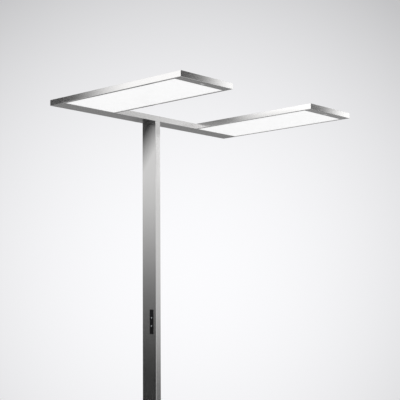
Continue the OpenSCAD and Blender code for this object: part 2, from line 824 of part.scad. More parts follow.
module control_bezel() {
    fit = 0.15;
    hook_gap = 0.1;
    hook_reach = 1.2;
    hook_width = 8;
    hook_root = opening_length / 2 - 2 * fit;
    color("black") in_control() {
        difference() {
            union() {
                control_sweep(-bezel_rim, 0) round_rect(strip_width, strip_length, 1);
                control_sweep(-eps, bezel_back)
                    square([opening_width - 2 * fit, opening_length - 2 * fit], center = true);
                // Snap hooks behind the wall, above and below the opening
                for (z = [-1, 1]) translate([column_wall + hook_gap, -hook_width / 2, 0])
                    mirror([0, 0, z > 0 ? 0 : 1]) rotate([-90, 0, 0]) mirror([0, 1, 0])
                        linear_extrude(hook_width) polygon([[0, hook_root],
                            [0, opening_length / 2 + hook_reach],
                            [bezel_back - column_wall - hook_gap, hook_root]]);
            }
            for (k = [-1:1]) control_sweep(-bezel_rim - past, bezel_back + past) translate([0, k * key_pitch])
                square([key_width + 2 * key_gap, key_length + 2 * key_gap], center = true);
            for (k = [-0.5, 0.5]) translate([-bezel_rim - past, 0, k * key_pitch]) rotate([0, 90, 0])
                cylinder(h = bezel_rim + bezel_back + 2 * past, r = pipe_radius + gasket_gap);
        }
        // Posts for the board, one on each bar between the keys
        for (k = [-0.5, 0.5]) translate([bezel_back - eps, 2 * k * post_offset, k * key_pitch])
            rotate([0, 90, 0]) difference() {
                cylinder(h = board_front - bezel_back + eps, r = post_radius);
                translate([0, 0, post_floor]) cylinder(h = board_front, r = post_screw_radius + screw_gap);
            }
    }
}

// Key with a hollow face, a flange that keeps it in the bezel and a stem for its switch
module key(place) {
    flange_front = bezel_back + key_rest_gap;
    flange_back = flange_front + key_flange_height;
    stem_end = board_front - switch_height + stem_overlap;
    front = -bezel_rim - key_proud;
    // The hollow is a shallow round groove along the key
    dish_radius = (pow(key_width / 2, 2) + pow(key_dish, 2)) / (2 * key_dish);
    color("black") in_control() translate([0, 0, place * key_pitch]) {
        difference() {
            control_sweep(front, flange_front + eps) round_rect(key_width, key_length, 1);
            translate([front + key_dish - dish_radius, 0, -key_length]) cylinder(h = 2 * key_length,
                r = dish_radius, $fn = 200);
        }
        control_sweep(flange_front, flange_back)
            square([key_width + 2 * key_flange, key_length + 2 * key_flange], center = true);
        translate([flange_back - eps, 0, 0]) rotate([0, 90, 0])
            cylinder(h = stem_end - flange_back + eps, r = stem_radius);
    }
}

module brighter_key() {
    key(1);
}

module mode_key() {
    key(0);
}

module dimmer_key() {
    key(-1);
}

// Light pipes that show the board's indicator diodes between the keys
module indicator_pipes() {
    color("white") in_control() for (k = [-0.5, 0.5])
        translate([-bezel_rim, 0, k * key_pitch]) rotate([0, 90, 0])
            cylinder(h = bezel_rim + board_front - indicator_size - indicator_gap, r = pipe_radius);
}

module control_board() {
    color("darkgreen") in_control() difference() {
        union() {
            control_sweep(board_front, board_front + board_thickness)
                square([opening_width - 1, opening_length - 3], center = true);
            // Switches with a round well for the stems
            for (k = [-1:1]) translate([0, 0, k * key_pitch])
                span([board_front - switch_height, -switch_width / 2, -switch_width / 2],
                    [board_front + eps, switch_width / 2, switch_width / 2]);
            // Indicator diodes
            for (k = [-0.5, 0.5]) translate([0, 0, k * key_pitch])
                span([board_front - indicator_size, -indicator_size, -indicator_size],
                    [board_front + eps, indicator_size, indicator_size]);
            // Socket of the loom
            span([board_front + board_thickness - eps, -socket_width / 2, socket_bottom],
                [board_front + board_thickness + socket_depth, socket_width / 2,
                    socket_bottom + socket_length]);
        }
        for (k = [-1:1]) translate([board_front - switch_height - eps, 0, k * key_pitch]) rotate([0, 90, 0])
            cylinder(h = well_depth, r = well_radius);
        for (k = [-0.5, 0.5]) translate([board_front - past, 2 * k * post_offset, k * key_pitch])
            rotate([0, 90, 0]) cylinder(h = board_thickness + 2 * past, r = post_screw_radius + screw_gap);
    }
}

module control_screws() {
    head = board_front + board_thickness;
    color("gray") in_control() for (k = [-0.5, 0.5])
        translate([0, 2 * k * post_offset, k * key_pitch]) rotate([0, 90, 0]) {
            translate([0, 0, post_screw_start]) cylinder(h = head - post_screw_start, r = post_screw_radius);
            translate([0, 0, head]) cylinder(h = post_head_height, r = post_head_radius);
        }
}

// ---- Electrics ----

// Aluminium strip that slides in between the web and the rear ribs
module driver_mount() {
    half = column_inside / 2 - slot_gap;
    color("lightgray") in_column() span([-half, web_back + slot_gap, mount_strip_bottom],
        [half, web_back + slot_gap + mount_strip_height, mount_strip_bottom + mount_strip_length]);
}

// Two slim drivers, one for each head, with narrower terminal ends
module drivers() {
    end = 18;
    step = 2;
    front = web_back + slot_gap + mount_strip_height;
    color("white") in_column() for (z = [first_driver_z, second_driver_z]) translate([0, front, z]) {
        span([-driver_width / 2, 0, end], [driver_width / 2, driver_depth, driver_length - end]);
        span([-driver_width / 2, 0, 0], [driver_width / 2, driver_depth / 2, driver_length]);
        span([-driver_width / 2 + step, driver_depth / 2 - eps, step],
            [driver_width / 2 - step, driver_depth - 2 * step, driver_length - step]);
    }
}

// Terminal block for the mains cord, with a row of wire entries that face down
module terminal_block() {
    front = web_back + slot_gap + mount_strip_height;
    half = 9;
    depth = 16;
    entry_pitch = 5.8;
    entry_radius = 1.8;
    entry_depth = 12;
    screw_place = 8;
    screw_depth = 6.4;
    color("ivory") in_column() difference() {
        span([-half, front, terminal_bottom], [half, front + depth, terminal_bottom + terminal_length]);
        for (k = [-1:1]) {
            translate([k * entry_pitch, front + depth - screw_depth - screw_gap - entry_radius,
                terminal_bottom - eps]) cylinder(h = entry_depth, r = entry_radius);
            translate([k * entry_pitch, front + depth + eps, terminal_bottom + screw_place])
                rotate([90, 0, 0]) cylinder(h = screw_depth, r = entry_radius + slot_gap);
        }
    }
}

// Bush that guides the mains cord through the column's back wall
module inlet_bush() {
    flange = 3;
    inner = 9;
    color("black") in_column() translate([0, bar_depth, inlet_height]) rotate([-90, 0, 0]) difference() {
        union() {
            translate([0, 0, -column_wall - inner]) cylinder(h = column_wall + inner, r = inlet_radius);
            cylinder(h = flange, r1 = inlet_radius + flange, r2 = inlet_radius + flange / 2);
        }
        translate([0, 0, -column_wall - inner - past])
            cylinder(h = column_wall + inner + flange + 2 * past, r = inlet_bore);
    }
}

module inlet_nut() {
    height = 5;
    color("black") in_column() translate([0, rear_back, inlet_height]) rotate([90, 0, 0]) difference() {
        cylinder(h = height, r = 1.6 * inlet_radius, $fn = 6);
        translate([0, 0, -past]) cylinder(h = height + 2 * past, r = inlet_radius + gasket_gap);
    }
}

// Round bar along a bend of a quarter turn, from the +x axis to the +y axis of its own plane
module loom_quarter(radius) {
    rotate_extrude(angle = 90) translate([loom_bend, 0]) circle(radius);
}

// Loom from the upper driver through the web into the front channel and up to the crossbar
module column_loom() {
    top_z = underside_z + shelf_top;
    radius = column_loom_radius;
    color("dimgray") in_column() union() {
        translate([0, driver_mid, loom_start_z]) cylinder(h = loom_turn_z - loom_start_z + eps, r = radius);
        translate([0, driver_mid - loom_bend, loom_turn_z]) rotate([90, 0, 90]) loom_quarter(radius);
        translate([0, channel_mid + loom_bend - eps, loom_cross_z]) rotate([-90, 0, 0])
            cylinder(h = driver_mid - channel_mid - 2 * loom_bend + 2 * eps, r = radius);
        translate([0, channel_mid + loom_bend, loom_cross_z + loom_bend]) rotate([90, 0, 90])
            rotate([0, 0, 180]) loom_quarter(radius);
        translate([0, channel_mid, loom_cross_z + loom_bend - eps])
            cylinder(h = top_z - loom_cross_z - loom_bend + eps, r = radius);
    }
}

// Looms from the connector along the crossbar and round into each head, up to its header
module head_looms() {
    run = head_mid_x - loom_bend - connector_half;
    reach = bar_front_y + loom_line - loom_bend - head_mid_y - uplight_length / 2;
    color("dimgray") for (side = [-1, 1]) on_side(side) in_bar() translate([0, loom_line, loom_level]) {
        translate([-connector_half - run, 0, 0]) rotate([0, 90, 0])
            cylinder(h = run, r = head_loom_radius);
        translate([-connector_half - run, -loom_bend, 0]) rotate([0, 0, 90]) loom_quarter(head_loom_radius);
        translate([-head_mid_x, -loom_bend + eps, 0]) rotate([90, 0, 0])
            cylinder(h = reach + eps, r = head_loom_radius);
    }
}

// Connector on the crossbar's front shelf, over the column's wiring channel
module loom_connector() {
    color("whitesmoke") in_bar() span([-connector_half, connector_front, shelf_top],
        [connector_half, connector_front + connector_depth, ledge_bottom - side_gap]);
}

// Clips on the front shelf that hold the looms
module loom_clips() {
    color("white") in_bar() for (side = [-1, 1], k = clip_places)
        translate([side * (connector_half + k * clip_run), 0, 0]) difference() {
            span([-clip_half, rail_wall, shelf_top],
                [clip_half, loom_line + clip_reach, loom_level + clip_reach]);
            translate([-clip_half - past, loom_line, loom_level]) rotate([0, 90, 0])
                cylinder(h = 2 * clip_half + 2 * past, r = head_loom_radius + slot_gap);
        }
}

base_plate();
base_glides();
foot_blocks();
foot_bolts();
column_profile();
column_screws();
neck_blocks();
neck_plate();
neck_bolts();
crossbar_profile();
crossbar_lid();
cover_screws();
end_cap(-1);  // left_end_cap
end_cap(1);  // right_end_cap
carrier_plate(-1);  // left_carrier_plate
carrier_plate(1);  // right_carrier_plate
carrier_screws(-1);  // left_carrier_screws
carrier_screws(1);  // right_carrier_screws
outer_rail(-1);  // left_outer_rail
outer_rail(1);  // right_outer_rail
inner_rail(-1);  // left_inner_rail
inner_rail(1);  // right_inner_rail
end_rail(-1);  // left_end_rail
end_rail(1);  // right_end_rail
corner_keys(-1);  // left_corner_keys
corner_keys(1);  // right_corner_keys
diffuser(-1);  // left_diffuser
diffuser(1);  // right_diffuser
light_guide(-1);  // left_light_guide
light_guide(1);  // right_light_guide
reflector(-1);  // left_reflector
reflector(1);  // right_reflector
light_strips(-1);  // left_light_strips
light_strips(1);  // right_light_strips
uplight_board(-1);  // left_uplight_board
uplight_board(1);  // right_uplight_board
top_cover(-1);  // left_top_cover
top_cover(1);  // right_top_cover
uplight_window(-1);  // left_uplight_window
uplight_window(1);  // right_uplight_window
sensor_window(-1);  // left_sensor_window
sensor_window(1);  // right_sensor_window
sensor_board(-1);  // left_sensor_board
sensor_board(1);  // right_sensor_board
control_bezel();
brighter_key();
mode_key();
dimmer_key();
indicator_pipes();
control_board();
control_screws();
driver_mount();
drivers();
terminal_block();
inlet_bush();
inlet_nut();
column_loom();
head_looms();
loom_connector();
loom_clips();
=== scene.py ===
import bpy
import bmesh
import json
from math import pi, radians
from mathutils import Matrix, Vector

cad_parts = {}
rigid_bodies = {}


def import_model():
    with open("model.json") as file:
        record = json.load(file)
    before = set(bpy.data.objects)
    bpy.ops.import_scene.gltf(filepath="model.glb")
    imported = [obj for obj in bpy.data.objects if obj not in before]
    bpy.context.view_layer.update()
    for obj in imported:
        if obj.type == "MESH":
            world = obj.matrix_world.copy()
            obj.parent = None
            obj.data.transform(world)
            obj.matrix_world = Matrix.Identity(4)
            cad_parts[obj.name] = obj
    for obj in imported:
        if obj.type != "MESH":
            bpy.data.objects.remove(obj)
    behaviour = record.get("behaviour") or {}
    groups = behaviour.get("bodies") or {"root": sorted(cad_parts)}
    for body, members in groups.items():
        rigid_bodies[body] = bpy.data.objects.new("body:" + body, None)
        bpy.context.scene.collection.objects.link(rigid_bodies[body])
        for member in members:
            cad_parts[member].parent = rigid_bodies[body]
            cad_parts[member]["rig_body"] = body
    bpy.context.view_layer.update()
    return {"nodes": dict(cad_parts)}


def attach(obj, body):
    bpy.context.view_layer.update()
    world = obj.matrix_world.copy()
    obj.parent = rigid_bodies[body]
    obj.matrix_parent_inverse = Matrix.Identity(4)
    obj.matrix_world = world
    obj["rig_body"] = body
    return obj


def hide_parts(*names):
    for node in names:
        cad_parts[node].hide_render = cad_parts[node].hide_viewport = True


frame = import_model()
nodes = frame["nodes"]
scene = bpy.context.scene
scene.view_settings.view_transform = "Standard"
print("frame loaded,", len(nodes), "nodes")


# Camera

cameraValues = {
    "place": (-3.1216, -2.7852, 1.092),  # metres
    "turn": -0.8367,  # about the vertical, in radians
    "tilt": 0.1130,  # upwards
    "roll": -0.0078,
    "lens": 88.9,  # millimetres, on a sensor of this width
    "sensor": 36,
}


def makeCamera(values):
    data = bpy.data.cameras.new("camera")
    data.lens = values["lens"]
    data.sensor_width = values["sensor"]
    camera = bpy.data.objects.new("camera", data)
    scene.collection.objects.link(camera)
    turn = Matrix.Rotation(values["turn"], 4, "Z") @ Matrix.Rotation(pi / 2 + values["tilt"], 4, "X")
    roll = Matrix.Rotation(values["roll"], 4, "Z")
    camera.matrix_world = Matrix.Translation(values["place"]) @ turn @ roll
    scene.camera = camera


makeCamera(cameraValues)
print("camera set")


# Node tree helpers

def addNode(tree, kind, settings=None, inputs=None):
    made = tree.nodes.new(kind)
    for name, value in (settings or {}).items():
        setattr(made, name, value)
    for name, value in (inputs or {}).items():
        if hasattr(value, "links"):
            tree.links.new(value, made.inputs[name])
        else:
            made.inputs[name].default_value = value
    return made


def mathNode(tree, operation, first, second=0.0, third=0.0):
    made = addNode(tree, "ShaderNodeMath", {"operation": operation}, {0: first, 1: second, 2: third})
    return made.outputs[0]


def vectorNode(tree, operation, first, second=None, output="Vector"):
    inputs = {0: first}
    if second is not None:
        inputs[1] = second
    return addNode(tree, "ShaderNodeVectorMath", {"operation": operation}, inputs).outputs[output]


def blendNode(tree, share, first, second):
    # this share of the first value, and the rest of the second
    return mathNode(tree, "MULTIPLY_ADD", first, share, mathNode(tree, "MULTIPLY", second, 1 - share))


def mixColours(tree, factor, first, second):
    made = addNode(tree, "ShaderNodeMix", {"data_type": "RGBA"}, {0: factor, 6: first, 7: second})
    return made.outputs[2]


def rangeNode(tree, value, low, high, newLow, newHigh, kind="LINEAR"):
    made = addNode(tree, "ShaderNodeMapRange", {"interpolation_type": kind},
                   {"Value": value, "From Min": low, "From Max": high, "To Min": newLow, "To Max": newHigh})
    return made.outputs["Result"]


def rampNode(tree, factor, stops):
    made = addNode(tree, "ShaderNodeValToRGB", None, {"Fac": factor})
    ramp = made.color_ramp
    ramp.interpolation = "LINEAR"
    while len(ramp.elements) < len(stops):
        ramp.elements.new(0.5)  # anywhere, its place comes next
    for element, (place, value) in zip(ramp.elements, stops):
        element.position = place
        element.color = (value, value, value, 1)
    return made.outputs["Color"]


def newGroup(name, inputs, outputs):
    group = bpy.data.node_groups.new(name, "ShaderNodeTree")
    for label, kind, value in inputs:
        made = group.interface.new_socket(label, in_out="INPUT", socket_type=kind)
        if value is not None:
            made.default_value = value
    for label, kind in outputs:
        group.interface.new_socket(label, in_out="OUTPUT", socket_type=kind)
    return group, group.nodes.new("NodeGroupInput"), group.nodes.new("NodeGroupOutput")


def placeGroup(tree, group, **inputs):
    return addNode(tree, "ShaderNodeGroup", {"node_tree": group}, inputs).outputs


def stretched(tree, place, along, factor):
    scale = [1.0, 1.0, 1.0]
    scale["XYZ".index(along)] = factor
    return addNode(tree, "ShaderNodeMapping", None, {"Vector": place, "Scale": scale}).outputs[0]


# Shared effects

def drawnLinesGroup():
    # fine lines left by the die, which the material stretches along one axis
    group, start, end = newGroup("drawnLines",
        [("Vector", "NodeSocketVector", None), ("Lines", "NodeSocketFloat", 600.0)],
        [("Height", "NodeSocketFloat"), ("Tone", "NodeSocketFloat")])
    fine = addNode(group, "ShaderNodeTexNoise", None,
                   {"Vector": start.outputs["Vector"], "Scale": start.outputs["Lines"], "Detail": 2.0})
    broadScale = mathNode(group, "MULTIPLY", start.outputs["Lines"], 0.12)
    broad = addNode(group, "ShaderNodeTexNoise", None,
                    {"Vector": start.outputs["Vector"], "Scale": broadScale, "Detail": 1.0})
    mixed = blendNode(group, 0.55, broad.outputs[0], fine.outputs[0])
    group.links.new(fine.outputs[0], end.inputs["Height"])
    group.links.new(mixed, end.inputs["Tone"])
    return group


def cloudsGroup():
    # broad, soft variation between two values: handling marks, anodising tone, haze
    group, start, end = newGroup("clouds",
        [("Vector", "NodeSocketVector", None), ("Scale", "NodeSocketFloat", 6.0),
         ("Low", "NodeSocketFloat", 0.0), ("High", "NodeSocketFloat", 1.0)],
        [("Value", "NodeSocketFloat")])
    noise = addNode(group, "ShaderNodeTexNoise", None,
                    {"Vector": start.outputs["Vector"], "Scale": start.outputs["Scale"], "Detail": 4.0,
                     "Roughness": 0.6})
    spread = rangeNode(group, noise.outputs[0], 0.3, 0.7, start.outputs["Low"], start.outputs["High"],
                       "SMOOTHSTEP")
    group.links.new(spread, end.inputs["Value"])
    return group


def mouldedGrainGroup():
    # fine pebbled texture of moulded plastic and of powder coating
    group, start, end = newGroup("mouldedGrain",
        [("Vector", "NodeSocketVector", None), ("Scale", "NodeSocketFloat", 900.0),
         ("Softness", "NodeSocketFloat", 0.5)],
        [("Height", "NodeSocketFloat"), ("Tone", "NodeSocketFloat")])
    pebbles = addNode(group, "ShaderNodeTexVoronoi", {"feature": "SMOOTH_F1"},
                      {"Vector": start.outputs["Vector"], "Scale": start.outputs["Scale"],
                       "Smoothness": start.outputs["Softness"]})
    noise = addNode(group, "ShaderNodeTexNoise", None,
                    {"Vector": start.outputs["Vector"], "Scale": start.outputs["Scale"], "Detail": 3.0})
    height = mathNode(group, "MULTIPLY_ADD", noise.outputs[0], 0.5,
                      mathNode(group, "SUBTRACT", 1.0, pebbles.outputs["Distance"]))
    group.links.new(height, end.inputs["Height"])
    group.links.new(noise.outputs[0], end.inputs["Tone"])
    return group


def dustGroup():
    # light dust on what faces up, thin and broken
    group, start, end = newGroup("dust",
        [("Vector", "NodeSocketVector", None), ("Amount", "NodeSocketFloat", 0.3)],
        [("Mask", "NodeSocketFloat")])
    geometry = group.nodes.new("ShaderNodeNewGeometry")
    upward = addNode(group, "ShaderNodeSeparateXYZ", None, {0: geometry.outputs["Normal"]})
    facing = rangeNode(group, upward.outputs["Z"], 0.6, 0.95, 0.0, 1.0)
    speckle = addNode(group, "ShaderNodeTexNoise", None,
                      {"Vector": start.outputs["Vector"], "Scale": 420.0, "Detail": 5.0, "Roughness": 0.7})
    drift = addNode(group, "ShaderNodeTexNoise", None,
                    {"Vector": start.outputs["Vector"], "Scale": 7.0, "Detail": 3.0})
    broken = mathNode(group, "MULTIPLY", rangeNode(group, speckle.outputs[0], 0.45, 0.75, 0.0, 1.0),
                      rangeNode(group, drift.outputs[0], 0.35, 0.7, 0.2, 1.0))
    mask = mathNode(group, "MULTIPLY", mathNode(group, "MULTIPLY", broken, facing), start.outputs["Amount"])
    group.links.new(mask, end.inputs["Mask"])
    return group


def dotFieldGroup():
    # even field of small round dots, for printed light guides and perforations
    group, start, end = newGroup("dotField",
        [("Vector", "NodeSocketVector", None), ("Pitch", "NodeSocketFloat", 0.004),
         ("Radius", "NodeSocketFloat", 0.3)],
        [("Mask", "NodeSocketFloat")])
    scaled = vectorNode(group, "DIVIDE", start.outputs["Vector"], start.outputs["Pitch"])
    cell = vectorNode(group, "FRACTION", scaled)
    centred = vectorNode(group, "SUBTRACT", cell, (0.5, 0.5, 0.5))
    flat = vectorNode(group, "MULTIPLY", centred, (1, 1, 0))
    reach = vectorNode(group, "LENGTH", flat, output="Value")
    group.links.new(mathNode(group, "LESS_THAN", reach, start.outputs["Radius"]), end.inputs["Mask"])
    return group


drawnLines = drawnLinesGroup()
clouds = cloudsGroup()
mouldedGrain = mouldedGrainGroup()
dust = dustGroup()
dotField = dotFieldGroup()
print("shared effects built")


# Materials

def newMaterial(name, **uniform):
    material = bpy.data.materials.new(name)
    material.use_nodes = True
    tree = material.node_tree
    tree.nodes.clear()
    output = tree.nodes.new("ShaderNodeOutputMaterial")
    shader = tree.nodes.new("ShaderNodeBsdfPrincipled")
    for label, value in uniform.items():
        shader.inputs[label.replace("_", " ")].default_value = value
    tree.links.new(shader.outputs["BSDF"], output.inputs["Surface"])
    place = tree.nodes.new("ShaderNodeTexCoord").outputs["Object"]
    return material, tree, shader, place


def addBump(tree, shader, height, strength, distance):
    bump = addNode(tree, "ShaderNodeBump", None,
                   {"Height": height, "Strength": strength, "Distance": distance})
    tree.links.new(bump.outputs["Normal"], shader.inputs["Normal"])


def edgeMask(tree, share):
    # softenedCopy writes edgeFinish on the bevelled edges
    edge = addNode(tree, "ShaderNodeAttribute", {"attribute_name": "edgeFinish"}).outputs["Fac"]
    return mathNode(tree, "MULTIPLY", edge, share)


aluminiumValues = {
    "dark": (0.748, 0.742, 0.738, 1),
    "light": (0.808, 0.802, 0.798, 1),
    "edge": (0.888, 0.885, 0.88, 1),
    "edgeShare": 0.6,  # how far the softened edges take their own colour
    "lines": 900.0,  # per metre across the drawing direction
    "stretch": 0.006,
    "lineShare": 0.6,  # of the tone, the rest comes from broad clouds
    "cloudScale": 5.0,
    "smooth": 0.19,  # roughness where it is cleanest
    "rough": 0.205,
    "hazeScale": 11.0,
    "lineRoughness": 0.02,
    "lineDepth": 0.02,
    "lineHeight": 0.0004,
    "dust": 0.25,
}


def satinAluminium(name, along, values):
    material, tree, shader, place = newMaterial(name, Metallic=1.0)
    turned = stretched(tree, place, along, values["stretch"])
    lines = placeGroup(tree, drawnLines, Vector=turned, Lines=values["lines"])
    tone = placeGroup(tree, clouds, Vector=place, Scale=values["cloudScale"], Low=0.3, High=0.7)["Value"]
    blended = blendNode(tree, values["lineShare"], lines["Tone"], tone)
    metal = mixColours(tree, blended, values["dark"], values["light"])
    worn = mixColours(tree, edgeMask(tree, values["edgeShare"]), metal, values["edge"])
    tree.links.new(worn, shader.inputs["Base Color"])
    haze = placeGroup(tree, clouds, Vector=place, Scale=values["hazeScale"],
                      Low=values["smooth"], High=values["rough"])["Value"]
    roughness = mathNode(tree, "MULTIPLY_ADD", lines["Tone"], values["lineRoughness"], haze)
    powder = placeGroup(tree, dust, Vector=place, Amount=values["dust"])["Mask"]
    tree.links.new(mathNode(tree, "ADD", roughness, powder), shader.inputs["Roughness"])
    addBump(tree, shader, lines["Height"], values["lineDepth"], values["lineHeight"])
    return material


coatValues = {
    "dark": (0.40, 0.405, 0.41, 1),
    "light": (0.47, 0.475, 0.48, 1),
    "edge": (0.6, 0.6, 0.61, 1),
    "edgeShare": 0.35,
    "metal": 0.25,
    "grain": 1100.0,
    "grainSoftness": 0.6,
    "grainShare": 0.5,  # of the tone, the rest comes from broad clouds
    "grainDepth": 0.25,
    "grainHeight": 0.0003,
    "cloudScale": 4.0,
    "smooth": 0.42,
    "rough": 0.55,
    "hazeScale": 9.0,
    "dust": (0.62, 0.61, 0.59, 1),
    "dustAmount": 0.35,
    "dustRoughness": 0.3,
}


def powderCoat(values):
    material, tree, shader, place = newMaterial("powderCoat", Metallic=values["metal"])
    grain = placeGroup(tree, mouldedGrain, Vector=place, Scale=values["grain"],
                       Softness=values["grainSoftness"])
    tone = placeGroup(tree, clouds, Vector=place, Scale=values["cloudScale"], Low=0.2, High=0.8)["Value"]
    blended = blendNode(tree, values["grainShare"], grain["Tone"], tone)
    coat = mixColours(tree, blended, values["dark"], values["light"])
    powder = placeGroup(tree, dust, Vector=place, Amount=values["dustAmount"])["Mask"]
    dusty = mixColours(tree, powder, coat, values["dust"])
    worn = mixColours(tree, edgeMask(tree, values["edgeShare"]), dusty, values["edge"])
    tree.links.new(worn, shader.inputs["Base Color"])
    haze = placeGroup(tree, clouds, Vector=place, Scale=values["hazeScale"],
                      Low=values["smooth"], High=values["rough"])["Value"]
    roughness = mathNode(tree, "MULTIPLY_ADD", powder, values["dustRoughness"], haze)
    tree.links.new(roughness, shader.inputs["Roughness"])
    addBump(tree, shader, grain["Height"], values["grainDepth"], values["grainHeight"])
    return material


plasticValues = {
    # darkest and lightest colour, least and greatest roughness, grains per metre and how strongly they show
    "blackBezel": {
        "dark": (0.004, 0.004, 0.0045, 1), "light": (0.009, 0.009, 0.01, 1), "smooth": 0.38, "rough": 0.5,
        "grain": 1400.0, "depth": 0.3, "dust": 0.2, "specular": 0.2,
    },
    "keyPlastic": {
        "dark": (0.006, 0.006, 0.007, 1), "light": (0.012, 0.012, 0.013, 1), "smooth": 0.3, "rough": 0.4,
        "grain": 2600.0, "depth": 0.12, "dust": 0.2, "specular": 0.25,
    },
    "bushPlastic": {
        "dark": (0.015, 0.015, 0.016, 1), "light": (0.028, 0.028, 0.03, 1), "smooth": 0.4, "rough": 0.55,
        "grain": 1200.0, "depth": 0.35, "dust": 0.2, "specular": 0.5,
    },
    "glideRubber": {
        "dark": (0.02, 0.02, 0.02, 1), "light": (0.045, 0.044, 0.042, 1), "smooth": 0.7, "rough": 0.85,
        "grain": 700.0, "depth": 0.5, "dust": 0.2, "specular": 0.5,
    },
    "driverCase": {
        "dark": (0.74, 0.74, 0.73, 1), "light": (0.82, 0.82, 0.81, 1), "smooth": 0.4, "rough": 0.55,
        "grain": 1000.0, "depth": 0.2, "dust": 0.2, "specular": 0.5,
    },
    "whitePlastic": {
        "dark": (0.72, 0.72, 0.69, 1), "light": (0.8, 0.8, 0.77, 1), "smooth": 0.35, "rough": 0.5,
        "grain": 1300.0, "depth": 0.2, "dust": 0.2, "specular": 0.5,
    },
    "whiteSheet": {
        "dark": (0.86, 0.86, 0.86, 1), "light": (0.9, 0.9, 0.9, 1), "smooth": 0.55, "rough": 0.7,
        "grain": 1600.0, "depth": 0.1, "dust": 0.0, "specular": 0.5,
    },
}
plasticShared = {
    "grainSoftness": 0.4,
    "grainShare": 0.6,  # of the tone, the rest comes from broad clouds
    "grainHeight": 0.0002,
    "cloudScale": 40.0,
    "hazeScale": 60.0,
    "edge": (0.2, 0.2, 0.21, 1),
    "edgeShare": 0.2,
    "dustColour": (0.55, 0.54, 0.52, 1),
}


def plastic(name, values, shared):
    material, tree, shader, place = newMaterial(name, Specular_IOR_Level=values["specular"])
    grain = placeGroup(tree, mouldedGrain, Vector=place, Scale=values["grain"],
                       Softness=shared["grainSoftness"])
    tone = placeGroup(tree, clouds, Vector=place, Scale=shared["cloudScale"], Low=0.0, High=1.0)["Value"]
    blended = blendNode(tree, shared["grainShare"], grain["Tone"], tone)
    colour = mixColours(tree, blended, values["dark"], values["light"])
    worn = mixColours(tree, edgeMask(tree, shared["edgeShare"]), colour, shared["edge"])
    powder = placeGroup(tree, dust, Vector=place, Amount=values["dust"])["Mask"]
    tree.links.new(mixColours(tree, powder, worn, shared["dustColour"]), shader.inputs["Base Color"])
    roughness = placeGroup(tree, clouds, Vector=place, Scale=shared["hazeScale"],
                           Low=values["smooth"], High=values["rough"])["Value"]
    tree.links.new(roughness, shader.inputs["Roughness"])
    addBump(tree, shader, grain["Height"], values["depth"], shared["grainHeight"])
    return material


headMiddle = 0.403  # metres from the lamp's middle plane to a head's middle

opalValues = {
    # the lower sheet, over the light guide
    "strength": 0.55,
    "glow": (1.0, 1.0, 1.0, 1),
    "edgeGlow": (0.957, 0.957, 0.959, 1),
    "halfWidth": 0.142,
    "fallFrom": 0.75,  # where the glow begins to fall off, as a part of the half width
}
uplightValues = {
    # the upper sheet, over its row of diodes
    "strength": 0.24,
    "glow": (1.0, 1.0, 1.0, 1),
    "edgeGlow": (0.36, 0.36, 0.37, 1),
    "halfWidth": 0.075,
    "fallFrom": 0.1,
}
opalShared = {
    "flat": (0.80, 0.80, 0.80, 1),
    "prism": (0.76, 0.76, 0.77, 1),
    "prismPitch": 0.0016,
    "prismRadius": 0.42,  # as a part of the pitch
    "prismDepth": 0.15,
    "prismHeight": 0.0001,
    "fallShare": 0.75,  # how much of the fall-off the edge gets, beside the clouds
    "smooth": 0.38,
    "rough": 0.5,
}


def opalSheet(name, values, shared):
    # brightest along its middle
    material, tree, shader, place = newMaterial(name, Emission_Strength=values["strength"])
    axes = addNode(tree, "ShaderNodeSeparateXYZ", None, {0: place})
    fromLamp = mathNode(tree, "ABSOLUTE", axes.outputs["X"])
    fromMiddle = mathNode(tree, "ABSOLUTE", mathNode(tree, "SUBTRACT", fromLamp, headMiddle))
    half = values["halfWidth"]
    side = rangeNode(tree, fromMiddle, half * values["fallFrom"], half, 0.0, 1.0, "SMOOTHSTEP")
    prisms = placeGroup(tree, dotField, Vector=place, Pitch=shared["prismPitch"],
                        Radius=shared["prismRadius"])["Mask"]
    tone = placeGroup(tree, clouds, Vector=place, Scale=3.0, Low=0.0, High=0.25)["Value"]
    edge = mathNode(tree, "MULTIPLY_ADD", side, shared["fallShare"], tone)
    glow = mixColours(tree, edge, values["glow"], values["edgeGlow"])
    tree.links.new(glow, shader.inputs["Emission Color"])
    colour = mixColours(tree, prisms, shared["flat"], shared["prism"])
    tree.links.new(colour, shader.inputs["Base Color"])
    roughness = placeGroup(tree, clouds, Vector=place, Scale=20.0,
                           Low=shared["smooth"], High=shared["rough"])["Value"]
    tree.links.new(roughness, shader.inputs["Roughness"])
    addBump(tree, shader, prisms, shared["prismDepth"], shared["prismHeight"])
    return material


guideValues = {
    "clear": (0.97, 0.98, 0.985, 1),
    "dot": (0.88, 0.9, 0.9, 1),
    "dotPitch": 0.003,
    "dotRadius": 0.3,
    "dotDepth": 0.2,
    "dotHeight": 0.0001,
    "smooth": 0.04,
    "dotRoughness": 0.5,
    "refraction": 1.49,
}


def clearSheet(values):
    # acrylic with printed dots that let the light out
    material, tree, shader, place = newMaterial("clearSheet", Transmission_Weight=1.0,
                                                IOR=values["refraction"])
    dots = placeGroup(tree, dotField, Vector=place, Pitch=values["dotPitch"],
                      Radius=values["dotRadius"])["Mask"]
    tree.links.new(mixColours(tree, dots, values["clear"], values["dot"]), shader.inputs["Base Color"])
    roughness = mathNode(tree, "MULTIPLY_ADD", dots, values["dotRoughness"], values["smooth"])
    tree.links.new(roughness, shader.inputs["Roughness"])
    addBump(tree, shader, dots, values["dotDepth"], values["dotHeight"])
    return material


lensValues = {
    "dark": (0.87, 0.875, 0.88, 1),
    "light": (0.95, 0.95, 0.955, 1),
    "facets": 700.0,  # per metre
    "facetDepth": 0.35,
    "facetHeight": 0.0003,
    "smooth": 0.3,
    "rough": 0.45,
    "coat": 0.3,
    "facetCoat": 0.4,
    "coatRoughness": 0.2,
    "refraction": 1.49,
}


